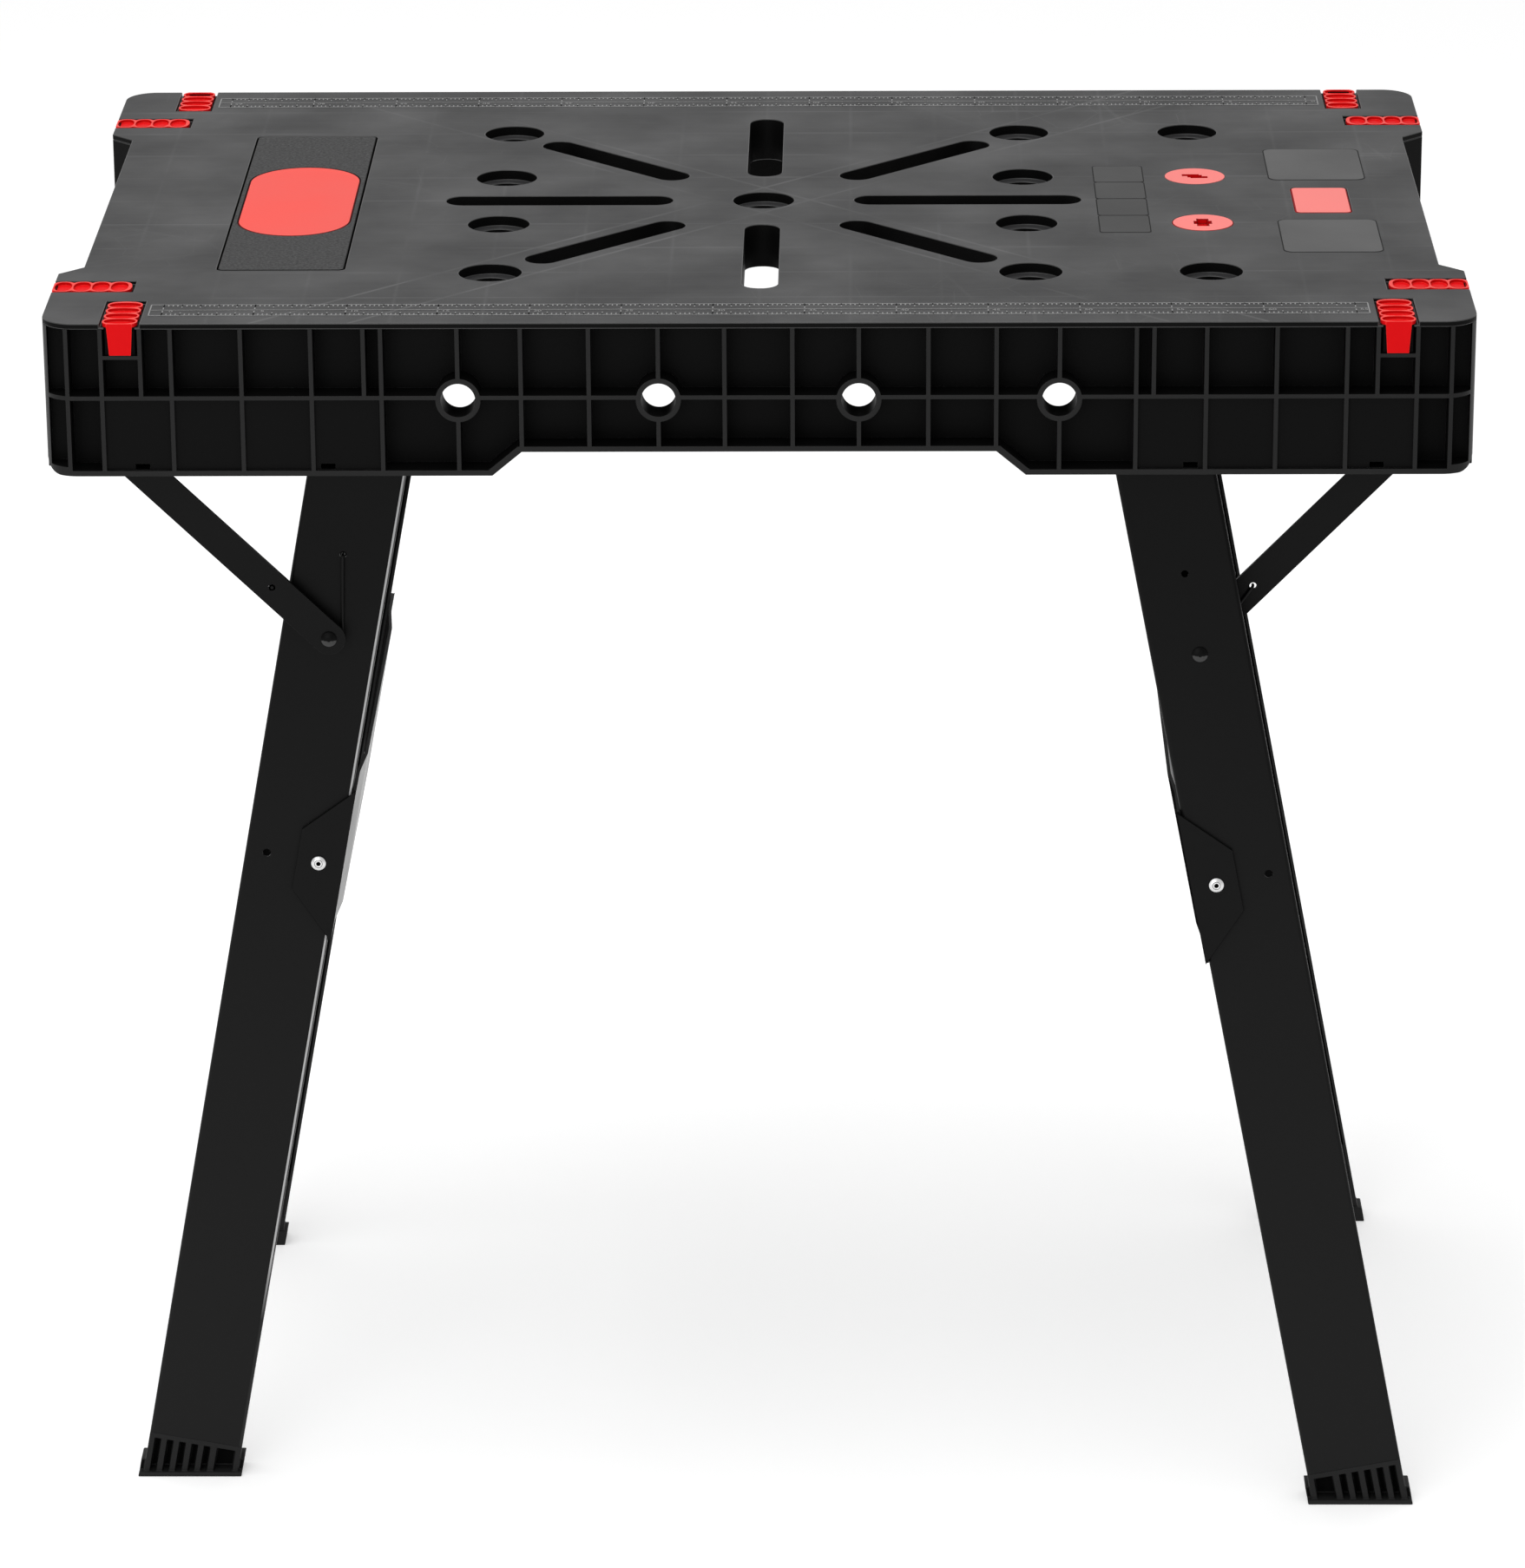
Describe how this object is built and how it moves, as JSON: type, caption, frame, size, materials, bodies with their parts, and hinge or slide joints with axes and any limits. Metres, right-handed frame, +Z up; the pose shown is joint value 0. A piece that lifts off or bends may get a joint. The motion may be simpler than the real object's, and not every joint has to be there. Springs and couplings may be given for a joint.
{
  "type": "folding workbench",
  "caption": "Folding workbench: a ribbed plastic top with dog holes, clamp slots and a lidded tray, on two pairs of splayed steel legs that fold flat under it.",
  "frame": {"origin": "on the floor, below the middle of the top", "axes": "+X along the bench's length towards the plugs, +Y to the rear, +Z up"},
  "size_m": [0.78, 0.5, 0.726],
  "materials": {
    "black_plastic": "grained",
    "black_steel": "satin",
    "red_plastic": "satin",
    "bright_steel": "zinc plated"
  },
  "bodies": {
    "top": {"deck": "black_plastic", "front_apron": "black_plastic", "rear_apron": "black_plastic", "left_end_wall": "black_plastic", "right_end_wall": "black_plastic", "rubber_pad": "red_plastic", "cross_plug": "red_plastic", "slotted_plug": "red_plastic", "front_left_edge_insert": "red_plastic", "front_left_end_insert": "red_plastic", "front_left_bracket": "black_steel", "front_right_edge_insert": "red_plastic", "front_right_end_insert": "red_plastic", "front_right_bracket": "black_steel", "rear_left_edge_insert": "red_plastic", "rear_left_end_insert": "red_plastic", "rear_left_bracket": "black_steel", "rear_right_edge_insert": "red_plastic", "rear_right_end_insert": "red_plastic", "rear_right_bracket": "black_steel", "left_bracket_screws": "bright_steel", "left_brace_pivots": "bright_steel", "right_bracket_screws": "bright_steel", "right_brace_pivots": "bright_steel"},
    "lid": {"storage_lid": "black_plastic", "lid_inlay": "red_plastic"},
    "left_braces": {"front_left_brace": "black_steel", "rear_left_brace": "black_steel"},
    "left_legs": {"front_left_leg": "black_steel", "rear_left_leg": "black_steel", "front_left_foot": "black_plastic", "rear_left_foot": "black_plastic", "front_left_spring": "black_steel", "rear_left_spring": "black_steel", "left_cross_panel": "black_steel", "left_panel_rivets": "bright_steel", "left_brace_rivets": "black_steel", "left_spacers": "black_steel", "left_guide_pins": "bright_steel"},
    "right_braces": {"front_right_brace": "black_steel", "rear_right_brace": "black_steel"},
    "right_legs": {"front_right_leg": "black_steel", "rear_right_leg": "black_steel", "front_right_foot": "black_plastic", "rear_right_foot": "black_plastic", "front_right_spring": "black_steel", "rear_right_spring": "black_steel", "right_cross_panel": "black_steel", "right_panel_rivets": "bright_steel", "right_brace_rivets": "black_steel", "right_spacers": "black_steel", "right_guide_pins": "bright_steel"}
  },
  "joints": [
    {"name": "lid_lift", "type": "slide", "parent": "top", "child": "lid", "axis": [0, 0, 1], "range_m": [0, 0.06]},
    {"name": "left_brace_swing", "type": "hinge", "parent": "top", "child": "left_braces", "pos_m": [-0.367, 0, 0.644], "axis": [0, -1, 0], "range_deg": [0, 51.91]},
    {"name": "left_leg_fold", "type": "hinge", "parent": "left_braces", "child": "left_legs", "pos_m": [-0.2428, 0, 0.52245], "axis": [0, -1, 0], "range_deg": [0, 48.57], "stiffness_Nm_per_rad": 0.4, "springref_deg": -22.92, "deforming": ["front_left_spring", "rear_left_spring"]},
    {"name": "right_brace_swing", "type": "hinge", "parent": "top", "child": "right_braces", "pos_m": [0.367, 0, 0.649], "axis": [0, 1, 0], "range_deg": [0, 52.05]},
    {"name": "right_leg_fold", "type": "hinge", "parent": "right_braces", "child": "right_legs", "pos_m": [0.24408, 0, 0.52269], "axis": [0, 1, 0], "range_deg": [0, 48.95], "stiffness_Nm_per_rad": 0.4, "springref_deg": -22.92, "deforming": ["front_right_spring", "rear_right_spring"]}
  ],
  "couplings": [
    {"joint": "left_brace_swing", "follows": "right_brace_swing", "ratio": 0.99722},
    {"joint": "left_leg_fold", "follows": "right_brace_swing", "ratio": 0.933},
    {"joint": "right_leg_fold", "follows": "right_brace_swing", "ratio": 0.9404}
  ]
}
